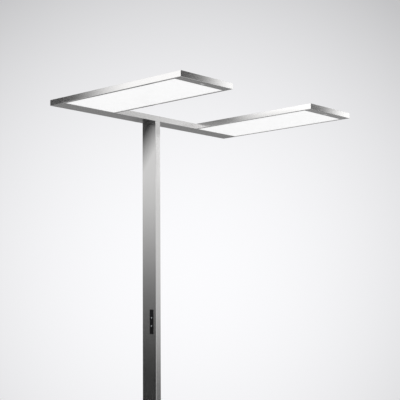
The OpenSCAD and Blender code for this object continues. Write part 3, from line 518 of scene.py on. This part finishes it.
def frostedLens(values):
    material, tree, shader, place = newMaterial("frostedLens", IOR=values["refraction"],
                                                Coat_Roughness=values["coatRoughness"])
    cells = addNode(tree, "ShaderNodeTexVoronoi", None, {"Vector": place, "Scale": values["facets"]})
    facets = cells.outputs["Distance"]
    tree.links.new(mixColours(tree, facets, values["dark"], values["light"]), shader.inputs["Base Color"])
    roughness = placeGroup(tree, clouds, Vector=place, Scale=90.0,
                           Low=values["smooth"], High=values["rough"])["Value"]
    tree.links.new(roughness, shader.inputs["Roughness"])
    coat = mathNode(tree, "MULTIPLY_ADD", facets, values["facetCoat"], values["coat"])
    tree.links.new(coat, shader.inputs["Coat Weight"])
    addBump(tree, shader, facets, values["facetDepth"], values["facetHeight"])
    return material


pipeValues = {
    "dark": (0.82, 0.86, 0.9, 1),
    "light": (0.95, 0.97, 1.0, 1),
    "dimGlow": (0.75, 0.82, 0.9, 1),
    "glow": (0.9, 0.95, 1.0, 1),
    "strength": 1.4,
    "speckles": 900.0,
    "speckleDepth": 0.1,
    "speckleHeight": 0.0001,
    "smooth": 0.18,
    "speckleRoughness": 0.1,
}


def lightPipe(values):
    # the lit tip of an indicator, faintly speckled
    material, tree, shader, place = newMaterial("lightPipe", Emission_Strength=values["strength"])
    speckle = placeGroup(tree, clouds, Vector=place, Scale=values["speckles"], Low=0.0, High=1.0)["Value"]
    tree.links.new(mixColours(tree, speckle, values["dark"], values["light"]), shader.inputs["Base Color"])
    glow = mixColours(tree, speckle, values["dimGlow"], values["glow"])
    tree.links.new(glow, shader.inputs["Emission Color"])
    roughness = mathNode(tree, "MULTIPLY_ADD", speckle, values["speckleRoughness"], values["smooth"])
    tree.links.new(roughness, shader.inputs["Roughness"])
    addBump(tree, shader, speckle, values["speckleDepth"], values["speckleHeight"])
    return material


platedValues = {
    # marks per metre, across the axis along which they are stretched
    "zincScrews": {
        "dark": (0.62, 0.63, 0.65, 1), "light": (0.74, 0.75, 0.77, 1), "smooth": 0.22, "rough": 0.34,
        "depth": 0.05, "along": "Z", "marks": 500.0,
    },
    "sawnSteel": {
        "dark": (0.36, 0.36, 0.365, 1), "light": (0.48, 0.48, 0.485, 1), "smooth": 0.32, "rough": 0.5,
        "depth": 0.25, "along": "X", "marks": 700.0,
    },
    "millAluminium": {
        "dark": (0.66, 0.665, 0.67, 1), "light": (0.76, 0.765, 0.77, 1), "smooth": 0.3, "rough": 0.42,
        "depth": 0.12, "along": "Z", "marks": 600.0,
    },
}
platedShared = {
    "stretch": 0.05,
    "markShare": 0.4,  # of the tone, the rest comes from broad clouds
    "markHeight": 0.0003,
    "cloudScale": 60.0,
}


def plated(name, values, shared):
    # sawn, rolled or plated metal of the hidden parts and of the screws
    material, tree, shader, place = newMaterial(name, Metallic=1.0)
    turned = stretched(tree, place, values["along"], shared["stretch"])
    marks = placeGroup(tree, drawnLines, Vector=turned, Lines=values["marks"])
    tone = placeGroup(tree, clouds, Vector=place, Scale=shared["cloudScale"], Low=0.0, High=1.0)["Value"]
    blended = blendNode(tree, shared["markShare"], marks["Tone"], tone)
    tree.links.new(mixColours(tree, blended, values["dark"], values["light"]), shader.inputs["Base Color"])
    roughness = rangeNode(tree, blended, 0.2, 0.8, values["smooth"], values["rough"])
    tree.links.new(roughness, shader.inputs["Roughness"])
    addBump(tree, shader, marks["Height"], values["depth"], shared["markHeight"])
    return material


boardColours = {
    "white": (0.86, 0.86, 0.84, 1),
    "green": (0.02, 0.12, 0.055, 1),
    "phosphor": (0.85, 0.68, 0.12, 1),
    "copper": (0.35, 0.22, 0.10, 1),
    "black": (0.02, 0.02, 0.022, 1),
}
boardValues = {
    # what stands on a board is told from it by its distance from a plane, along one axis, in metres
    "lightStripBoard": {
        "ground": "white", "raised": "phosphor", "axis": "X", "bothHeads": True, "plane": headMiddle,
        "distance": 0.14375, "within": True,
    },
    "uplightDiodeBoard": {
        "ground": "white", "raised": "phosphor", "axis": "Z", "bothHeads": False, "plane": 1.9,
        "distance": 0.05644, "within": False,
    },
    "sensorCircuit": {
        "ground": "green", "raised": "black", "axis": "Z", "bothHeads": False, "plane": 1.9,
        "distance": 0.0503, "within": False,
    },
    "controlCircuit": {
        "ground": "green", "raised": "black", "axis": "X", "bothHeads": False, "plane": -0.0032,
        "distance": 0.0009, "within": False,
    },
}
boardShared = {
    "traces": 90.0,
    "traceWidth": 0.012,
    "traceDepth": 0.1,
    "traceHeight": 0.0001,
    "printShare": 0.75,  # how far the lacquer hides the copper
    "smooth": 0.3,
    "rough": 0.5,
}


def circuitBoard(name, values, shared, colours):
    material, tree, shader, place = newMaterial(name)
    axes = addNode(tree, "ShaderNodeSeparateXYZ", None, {0: place})
    measured = axes.outputs[values["axis"]]
    if values["bothHeads"]:
        measured = mathNode(tree, "ABSOLUTE", measured)
    measured = mathNode(tree, "ABSOLUTE", mathNode(tree, "SUBTRACT", measured, values["plane"]))
    mask = mathNode(tree, "LESS_THAN" if values["within"] else "GREATER_THAN", measured, values["distance"])
    traces = addNode(tree, "ShaderNodeTexBrick", None,
                     {"Vector": place, "Scale": shared["traces"], "Mortar Size": shared["traceWidth"],
                      "Color1": (1, 1, 1, 1), "Color2": (1, 1, 1, 1), "Mortar": (0, 0, 0, 1)})
    gaps = mathNode(tree, "SUBTRACT", 1.0, traces.outputs["Fac"])
    ground = colours[values["ground"]]
    etched = mixColours(tree, gaps, colours["copper"], ground)
    printed = mixColours(tree, shared["printShare"], etched, ground)
    tree.links.new(mixColours(tree, mask, printed, colours[values["raised"]]), shader.inputs["Base Color"])
    roughness = placeGroup(tree, clouds, Vector=place, Scale=80.0,
                           Low=shared["smooth"], High=shared["rough"])["Value"]
    tree.links.new(roughness, shader.inputs["Roughness"])
    addBump(tree, shader, traces.outputs["Fac"], shared["traceDepth"], shared["traceHeight"])
    return material


sleeveValues = {
    "dark": (0.02, 0.02, 0.022, 1),
    "light": (0.075, 0.075, 0.08, 1),
    "slants": (45, -45),  # degrees, of the two sets of strands
    "strands": 260.0,
    "waviness": 0.6,
    "strandDepth": 0.5,
    "strandHeight": 0.0004,
    "smooth": 0.5,
    "rough": 0.75,
}


def loomSleeve(values):
    # braided sleeve: two sets of slanting strands
    material, tree, shader, place = newMaterial("loomSleeve")
    strands = []
    for slant in values["slants"]:
        turn = radians(slant)
        turned = addNode(tree, "ShaderNodeMapping", None, {"Vector": place, "Rotation": (turn, turn, turn)})
        wave = addNode(tree, "ShaderNodeTexWave", None,
                       {"Vector": turned.outputs[0], "Scale": values["strands"],
                        "Distortion": values["waviness"]})
        strands.append(wave.outputs["Fac"])
    woven = mathNode(tree, "MAXIMUM", strands[0], strands[1])
    tree.links.new(mixColours(tree, woven, values["dark"], values["light"]), shader.inputs["Base Color"])
    roughness = rangeNode(tree, woven, 0.0, 1.0, values["rough"], values["smooth"])
    tree.links.new(roughness, shader.inputs["Roughness"])
    addBump(tree, shader, woven, values["strandDepth"], values["strandHeight"])
    return material


aluminiumAlongZ = satinAluminium("satinAluminiumAlongZ", "Z", aluminiumValues)
aluminiumAlongX = satinAluminium("satinAluminiumAlongX", "X", aluminiumValues)
aluminiumAlongY = satinAluminium("satinAluminiumAlongY", "Y", aluminiumValues)
diffuserOpal = opalSheet("diffuserOpal", opalValues, opalShared)
uplightOpal = opalSheet("uplightOpal", uplightValues, opalShared)
plastics = {name: plastic(name, values, plasticShared) for name, values in plasticValues.items()}
coatedBase = powderCoat(coatValues)
metals = {name: plated(name, values, platedShared) for name, values in platedValues.items()}
boards = {name: circuitBoard(name, values, boardShared, boardColours)
          for name, values in boardValues.items()}
clearGuide = clearSheet(guideValues)
lensFrost = frostedLens(lensValues)
pipeTips = lightPipe(pipeValues)
sleeve = loomSleeve(sleeveValues)
print("materials built")


# Which node wears which finish

finishes = {
    "base_plate": coatedBase, "base_glides": plastics["glideRubber"],
    "foot_blocks": metals["sawnSteel"], "neck_blocks": metals["sawnSteel"], "neck_plate": metals["sawnSteel"],
    "foot_bolts": metals["zincScrews"], "neck_bolts": metals["zincScrews"],
    "column_screws": metals["zincScrews"], "cover_screws": metals["zincScrews"],
    "control_screws": metals["zincScrews"],
    "column_profile": aluminiumAlongZ, "crossbar_profile": aluminiumAlongX, "crossbar_lid": aluminiumAlongX,
    "left_end_cap": aluminiumAlongY, "right_end_cap": aluminiumAlongY,
    "control_bezel": plastics["blackBezel"], "brighter_key": plastics["keyPlastic"],
    "mode_key": plastics["keyPlastic"], "dimmer_key": plastics["keyPlastic"],
    "indicator_pipes": pipeTips, "control_board": boards["controlCircuit"],
    "driver_mount": metals["millAluminium"], "drivers": plastics["driverCase"],
    "terminal_block": plastics["whitePlastic"], "inlet_bush": plastics["bushPlastic"],
    "inlet_nut": plastics["bushPlastic"], "column_loom": sleeve, "head_looms": sleeve,
    "loom_connector": plastics["whitePlastic"], "loom_clips": plastics["whitePlastic"],
}
headFinishes = {
    "carrier_plate": metals["sawnSteel"], "carrier_screws": metals["zincScrews"],
    "outer_rail": aluminiumAlongY, "inner_rail": aluminiumAlongY, "end_rail": aluminiumAlongX,
    "corner_keys": metals["sawnSteel"], "diffuser": diffuserOpal, "light_guide": clearGuide,
    "reflector": plastics["whiteSheet"], "light_strips": boards["lightStripBoard"],
    "uplight_board": boards["uplightDiodeBoard"], "top_cover": aluminiumAlongY,
    "uplight_window": uplightOpal, "sensor_window": lensFrost, "sensor_board": boards["sensorCircuit"],
}
for side in ("left", "right"):
    for part, material in headFinishes.items():
        finishes[side + "_" + part] = material


def dress(thing, material):
    thing.data.materials.clear()
    thing.data.materials.append(material)


for name, thing in nodes.items():
    dress(thing, finishes[name])
print("finishes given to", len(finishes), "nodes")


# Outer pieces with their edges softened, in place of the sharp solids

def bothSides(*parts):
    return [side + "_" + part for part in parts for side in ("left", "right")]


softEdges = [
    # edge radius in metres, material slot of the record, nodes
    (0.00025, "satin_aluminium", ["column_profile"]),
    (0.0002, "satin_aluminium", ["crossbar_profile", "crossbar_lid"]),
    (0.0002, "satin_aluminium", bothSides("end_cap", "outer_rail", "inner_rail", "end_rail", "top_cover")),
    (0.0003, "opal_sheet", bothSides("diffuser")),
    (0.0006, "coated_steel", ["base_plate"]),
    (0.0005, "glide_rubber", ["base_glides"]),
    (0.00025, "black_plastic", ["control_bezel"]),
    (0.0004, "key_plastic", ["brighter_key", "mode_key", "dimmer_key"]),
    (0.0005, "black_plastic", ["inlet_bush"]),
]
softeningValues = {
    "weld": 0.000002,  # metres, joins corners that the mesh holds twice
    "flat": radians(0.3),  # edges flatter than this are dissolved
    "bevelled": radians(28),  # edges sharper than this get a radius
    "creased": radians(50),  # edges sharper than this stay sharp in the shading
    "segments": 2,
    "profile": 0.5,  # round
    "flatWeight": 100,  # keeps the large faces flat beside the small bevels
}


def softenedCopy(node, radius, values):
    work = bmesh.new()
    work.from_mesh(nodes[node].data)
    bmesh.ops.remove_doubles(work, verts=work.verts, dist=values["weld"])
    bmesh.ops.dissolve_limit(work, angle_limit=values["flat"], verts=work.verts, edges=work.edges)
    finish = work.faces.layers.float.new("edgeFinish")
    sharp = [edge for edge in work.edges
             if len(edge.link_faces) == 2 and edge.calc_face_angle(0.0) > values["bevelled"]]
    made = bmesh.ops.bevel(work, geom=sharp, offset=radius, offset_type="OFFSET",
                           segments=values["segments"], profile=values["profile"], affect="EDGES",
                           clamp_overlap=True, material=-1)
    for face in made["faces"]:
        face[finish] = 1.0
    bmesh.ops.triangulate(work, faces=[face for face in work.faces if len(face.verts) > 4])
    for face in work.faces:
        face.smooth = True
    mesh = bpy.data.meshes.new(node + "_softened")
    work.to_mesh(mesh)
    work.free()
    mesh.set_sharp_from_angle(angle=values["creased"])
    piece = bpy.data.objects.new(node + "_softened", mesh)
    even = piece.modifiers.new("evenNormals", "WEIGHTED_NORMAL")
    even.keep_sharp = True
    even.weight = values["flatWeight"]
    scene.collection.objects.link(piece)
    dress(piece, finishes[node])
    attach(piece, nodes[node]["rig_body"])
    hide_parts(node)


for radius, slot, softened in softEdges:
    for node in softened:
        softenedCopy(node, radius, softeningValues)
print("outer edges softened on", sum(len(softened) for radius, slot, softened in softEdges), "pieces")


# Floor and studio

floorValues = {
    "radius": 4.0,
    "sides": 96,
    "colour": (0.80, 0.80, 0.815, 1),
    "cloudColour": (0.78, 0.78, 0.795, 1),
    "smooth": 0.6,
    "rough": 0.75,
    "shine": 0.2,
    "fadeFrom": 1.6,
    "fadeTo": 3.9,
}


def makeFloor(values):
    work = bmesh.new()
    bmesh.ops.create_circle(work, cap_ends=True, segments=values["sides"], radius=values["radius"])
    mesh = bpy.data.meshes.new("floor")
    work.to_mesh(mesh)
    work.free()
    floor = bpy.data.objects.new("floor", mesh)
    scene.collection.objects.link(floor)
    material, tree, shader, place = newMaterial("floorPaint", Specular_IOR_Level=values["shine"])
    reach = vectorNode(tree, "LENGTH", place, output="Value")
    fade = rangeNode(tree, reach, values["fadeFrom"], values["fadeTo"], 1.0, 0.0, "SMOOTHSTEP")
    # the floor shows from above only and lets soft light up, so a view from below shows the base's underside
    back = tree.nodes.new("ShaderNodeNewGeometry").outputs["Backfacing"]
    soft = tree.nodes.new("ShaderNodeLightPath").outputs["Is Diffuse Ray"]
    there = mathNode(tree, "SUBTRACT", 1.0, mathNode(tree, "MAXIMUM", back, soft))
    tree.links.new(mathNode(tree, "MULTIPLY", fade, there), shader.inputs["Alpha"])
    tone = placeGroup(tree, clouds, Vector=place, Scale=2.0, Low=0.0, High=1.0)["Value"]
    colour = mixColours(tree, tone, values["colour"], values["cloudColour"])
    tree.links.new(colour, shader.inputs["Base Color"])
    roughness = placeGroup(tree, clouds, Vector=place, Scale=3.0,
                           Low=values["smooth"], High=values["rough"])["Value"]
    tree.links.new(roughness, shader.inputs["Roughness"])
    dress(floor, material)


makeFloor(floorValues)

backdropValues = {
    "tint": (1.0, 1.0, 1.019),
    "brightest": 0.9686,  # where the backdrop is brightest in the photograph, falling off round it
    "falloff": 3.444,  # per squared tangent of the angle from there
    "dimmest": 0.55,
    "towards": (0.7356, 0.6805, 0.0393),
    "widest": 0.2,  # cosine of the widest angle at which the fall-off is still worked out
    "nearEnds": (0.92, 0.75),  # cosines between which the backdrop passes into the rest of the studio
    "elsewhere": 0.78,
}
softLightValues = {
    "above": 0.62,
    "below": 0.54,
    "heights": (-0.4, 0.5),  # of a direction, between which one passes into the other
}


def makeWorld(backdrop, softLight):
    world = bpy.data.worlds.new("studio")
    scene.world = world
    world.use_nodes = True
    tree = world.node_tree
    tree.nodes.clear()
    output = tree.nodes.new("ShaderNodeOutputWorld")
    direction = tree.nodes.new("ShaderNodeTexCoord").outputs["Generated"]
    unit = vectorNode(tree, "NORMALIZE", direction)
    centre = Vector(backdrop["towards"]).normalized()
    along = vectorNode(tree, "DOT_PRODUCT", unit, centre, output="Value")
    # squared tangent of the angle from the brightest place, worked out from its cosine
    forward = mathNode(tree, "MAXIMUM", along, backdrop["widest"])
    inverse = mathNode(tree, "DIVIDE", 1.0, mathNode(tree, "MULTIPLY", forward, forward))
    tangent = mathNode(tree, "SUBTRACT", inverse, 1.0)
    near = mathNode(tree, "MULTIPLY_ADD", tangent, -backdrop["falloff"], backdrop["brightest"])
    near = mathNode(tree, "MAXIMUM", near, backdrop["dimmest"])
    away = rangeNode(tree, along, *backdrop["nearEnds"], 0.0, 1.0, "SMOOTHSTEP")
    change = mathNode(tree, "SUBTRACT", backdrop["elsewhere"], near)
    level = mathNode(tree, "MULTIPLY_ADD", change, away, near)
    pale = addNode(tree, "ShaderNodeVectorMath", {"operation": "SCALE"},
                   {0: backdrop["tint"], "Scale": level})
    shown = addNode(tree, "ShaderNodeBackground", None, {"Color": pale.outputs[0], "Strength": 1.0})
    height = addNode(tree, "ShaderNodeSeparateXYZ", None, {0: unit}).outputs["Z"]
    soft = rangeNode(tree, height, *softLight["heights"], softLight["below"], softLight["above"],
                     "SMOOTHSTEP")
    lit = addNode(tree, "ShaderNodeBackground", None, {"Color": soft, "Strength": 1.0})
    # the backdrop is what shows and reflects, the soft light is what lights the lamp
    rays = tree.nodes.new("ShaderNodeLightPath").outputs
    reflected = mathNode(tree, "MAXIMUM", rays["Is Glossy Ray"], rays["Is Transmission Ray"])
    seen = mathNode(tree, "MAXIMUM", rays["Is Camera Ray"], reflected)
    mixed = addNode(tree, "ShaderNodeMixShader", None, {0: seen, 1: lit.outputs[0], 2: shown.outputs[0]})
    tree.links.new(mixed.outputs[0], output.inputs["Surface"])


makeWorld(backdropValues, softLightValues)

lampValues = {
    "key": {"place": (-2.4, -2.6, 4.2), "size": 2.4, "power": 55.0},
    "fill": {"place": (2.8, -1.2, 3.6), "size": 2.8, "power": 30.0},
    "back": {"place": (0.6, 3.2, 3.8), "size": 2.6, "power": 28.0},
}
lampAim = (0.0, 0.1, 1.0)


def makeLamp(name, values, aimedAt):
    data = bpy.data.lights.new(name, "AREA")
    data.size = values["size"]
    data.energy = values["power"]
    lamp = bpy.data.objects.new(name, data)
    lamp.location = values["place"]
    aim = Vector(aimedAt) - lamp.location
    lamp.rotation_euler = aim.to_track_quat("-Z", "Y").to_euler()
    lamp.visible_camera = False
    lamp.visible_glossy = False
    scene.collection.objects.link(lamp)


for name, values in lampValues.items():
    makeLamp(name, values, lampAim)
print("floor, backdrop and lamps set")


# Graduated cards round the lamp, as a studio puts them up for polished metal: seen only as reflections; the
# small dark sheet beside the column's top is painted shade under the crossbar

cardValues = {
    # middle, turn about the vertical in degrees, width and height
    # shade: direction and ends of the gradient, whose stops are pairs of a part of the way and a level
    # fade: direction and ends of the stretch on which the card is there, thinning out at both ends
    # behind: from behind, the card shows from none at the first end to the last number at the second end
    "leftCard": {
        "middle": (-2.1, 2.4, 1.6), "turn": 45, "size": (3.6, 3.2), "shade": ((0, 0, 1), 0.2, 3.0),
        "stops": [(0.0, 0.0), (0.12, 0.0), (0.186, 0.032), (0.24, 0.065), (0.38, 0.178), (0.5, 0.42),
                  (0.62, 0.7), (0.75, 0.88), (1.0, 0.9)],
    },
    "rightCard": {
        "middle": (2.1, -1.8, 1.6), "turn": 45, "size": (3.6, 3.2), "shade": ((0, 0, 1), 0.2, 3.0),
        "stops": [(0.0, 0.08), (0.12, 0.16), (0.26, 0.44), (0.38, 0.64), (0.5, 0.72), (0.62, 0.8),
                  (0.75, 0.82), (1.0, 0.75)],
    },
    "farCard": {
        "middle": (2.1, 2.4, 1.1), "turn": -45, "size": (4.4, 2.2), "shade": ((1, 0, 0), 2.0, 3.4),
        "stops": [(0.0, 0.232), (0.35, 0.232), (0.62, 0.275), (1.0, 0.285)],
    },
    "leftHeadCard": {
        "middle": (-1.0, 0.385, 2.27), "turn": 90, "size": (1.37, 0.8), "shade": ((0, 1, 0), -0.3, 1.3),
        "stops": [(0.0, 1.28), (0.42, 1.24), (0.47, 1.15), (0.52, 0.85), (0.57, 0.5), (0.62, 0.16),
                  (0.66, 0.02), (0.7, 0.0), (1.0, 0.0)],
        "fade": ((0, 0, 1), 1.87, 2.67),
    },
    "rightHeadCard": {
        "middle": (-0.2, 0.33, 2.24), "turn": 90, "size": (0.96, 0.5), "shade": ((0, 1, 0), -0.15, 0.81),
        "stops": [(0.0, 1.75), (0.38, 1.7), (0.46, 1.5), (0.53, 1.1), (0.58, 0.55), (0.63, 0.12),
                  (0.7, 0.0), (0.84, 0.08), (1.0, 0.2)],
        "fade": ((0, 0, 1), 1.99, 2.49),
        "behind": ((0, 1, 0), -1.0, 1.0, 0.0),
    },
    "leftEndCard": {
        "middle": (0.2, -0.9, 2.25), "turn": 0, "size": (0.8, 0.7), "shade": ((1, 0, 0), -0.15, 0.65),
        "stops": [(0.0, 0.0), (0.25, 0.01), (0.35, 0.08), (0.43, 0.35), (0.51, 0.95), (0.59, 1.5),
                  (0.8, 1.6), (1.0, 1.0)],
        "fade": ((0, 0, 1), 1.9, 2.6),
    },
    "rightEndCard": {
        "middle": (1.02, -0.9, 2.06), "turn": 0, "size": (0.84, 0.34), "shade": ((1, 0, 0), 0.6, 1.44),
        "stops": [(0.0, 0.0), (0.5, 0.0), (0.6, 0.05), (0.66, 0.42), (0.72, 1.15), (0.79, 1.8),
                  (1.0, 2.05)],
        "fade": ((0, 0, 1), 1.87, 2.26),
    },
    "crossbarCard": {
        "middle": (1.05, -0.93, 2.46), "turn": 0, "size": (1.1, 0.5), "shade": ((1, 0, 0), 0.5, 1.6),
        "stops": [(0.0, 0.74), (1.0, 0.74)],
        "fade": ((0, 0, 1), 2.16, 2.9),
    },
    # a dark sheet just beside the column's top, under the crossbar, seen only in reflections: it paints the
    # shade under the crossbar onto the column's top
    "columnPaintedShade": {
        "middle": (-0.055, 0.365, 1.834), "turn": 90, "size": (0.14, 0.268),
        "shade": ((0, 1, 0), 0.36, 0.42), "stops": [(0.0, 0.0), (1.0, 0.06)],
        "fade": ((0, 1.2, 1), 2.213, 2.897),
        "behind": ((0, 1, 0), 0.43, 0.31, 0.32),
    },
}


cardThinning = 0.25  # the part of the fade's stretch on which a card thins out, at either end


def alongDirection(tree, place, direction, low, high):
    # how far a point lies from low to high along a direction
    reach = vectorNode(tree, "DOT_PRODUCT", place, direction, output="Value")
    return rangeNode(tree, reach, low, high, 0.0, 1.0)


def makeCard(name, values):
    work = bmesh.new()
    bmesh.ops.create_grid(work, x_segments=1, y_segments=1, size=0.5)
    bmesh.ops.scale(work, vec=(*values["size"], 1), verts=work.verts)
    bmesh.ops.rotate(work, matrix=Matrix.Rotation(pi / 2, 3, "X"), verts=work.verts)
    bmesh.ops.rotate(work, matrix=Matrix.Rotation(radians(values["turn"]), 3, "Z"), verts=work.verts)
    bmesh.ops.translate(work, vec=values["middle"], verts=work.verts)
    mesh = bpy.data.meshes.new(name)
    work.to_mesh(mesh)
    work.free()
    card = bpy.data.objects.new(name, mesh)
    scene.collection.objects.link(card)
    material = bpy.data.materials.new(name + "Paint")
    material.use_nodes = True
    tree = material.node_tree
    tree.nodes.clear()
    place = tree.nodes.new("ShaderNodeTexCoord").outputs["Object"]
    shade = rampNode(tree, alongDirection(tree, place, *values["shade"]), values["stops"])
    glow = addNode(tree, "ShaderNodeEmission", None, {"Color": shade, "Strength": 1.0})
    output = tree.nodes.new("ShaderNodeOutputMaterial")
    surface = glow.outputs[0]
    if "fade" in values:
        across = alongDirection(tree, place, *values["fade"])
        ends = [(0.0, 0.0), (cardThinning, 1.0), (1 - cardThinning, 1.0), (1.0, 0.0)]
        thickness = rampNode(tree, across, ends)
        if "behind" in values:
            direction, low, high, most = values["behind"]
            back = tree.nodes.new("ShaderNodeNewGeometry").outputs["Backfacing"]
            thin = mathNode(tree, "MULTIPLY", alongDirection(tree, place, direction, low, high), most)
            left = mathNode(tree, "MULTIPLY_ADD", back, mathNode(tree, "SUBTRACT", thin, 1.0), 1.0)
            thickness = mathNode(tree, "MULTIPLY", thickness, left)
        clear = tree.nodes.new("ShaderNodeBsdfTransparent")
        mixed = addNode(tree, "ShaderNodeMixShader", None, {0: thickness, 1: clear.outputs[0], 2: surface})
        surface = mixed.outputs[0]
    tree.links.new(surface, output.inputs["Surface"])
    dress(card, material)
    card.visible_camera = False
    card.visible_diffuse = False
    card.visible_transmission = False
    card.visible_shadow = False


for name, values in cardValues.items():
    makeCard(name, values)
print("reflection cards set")
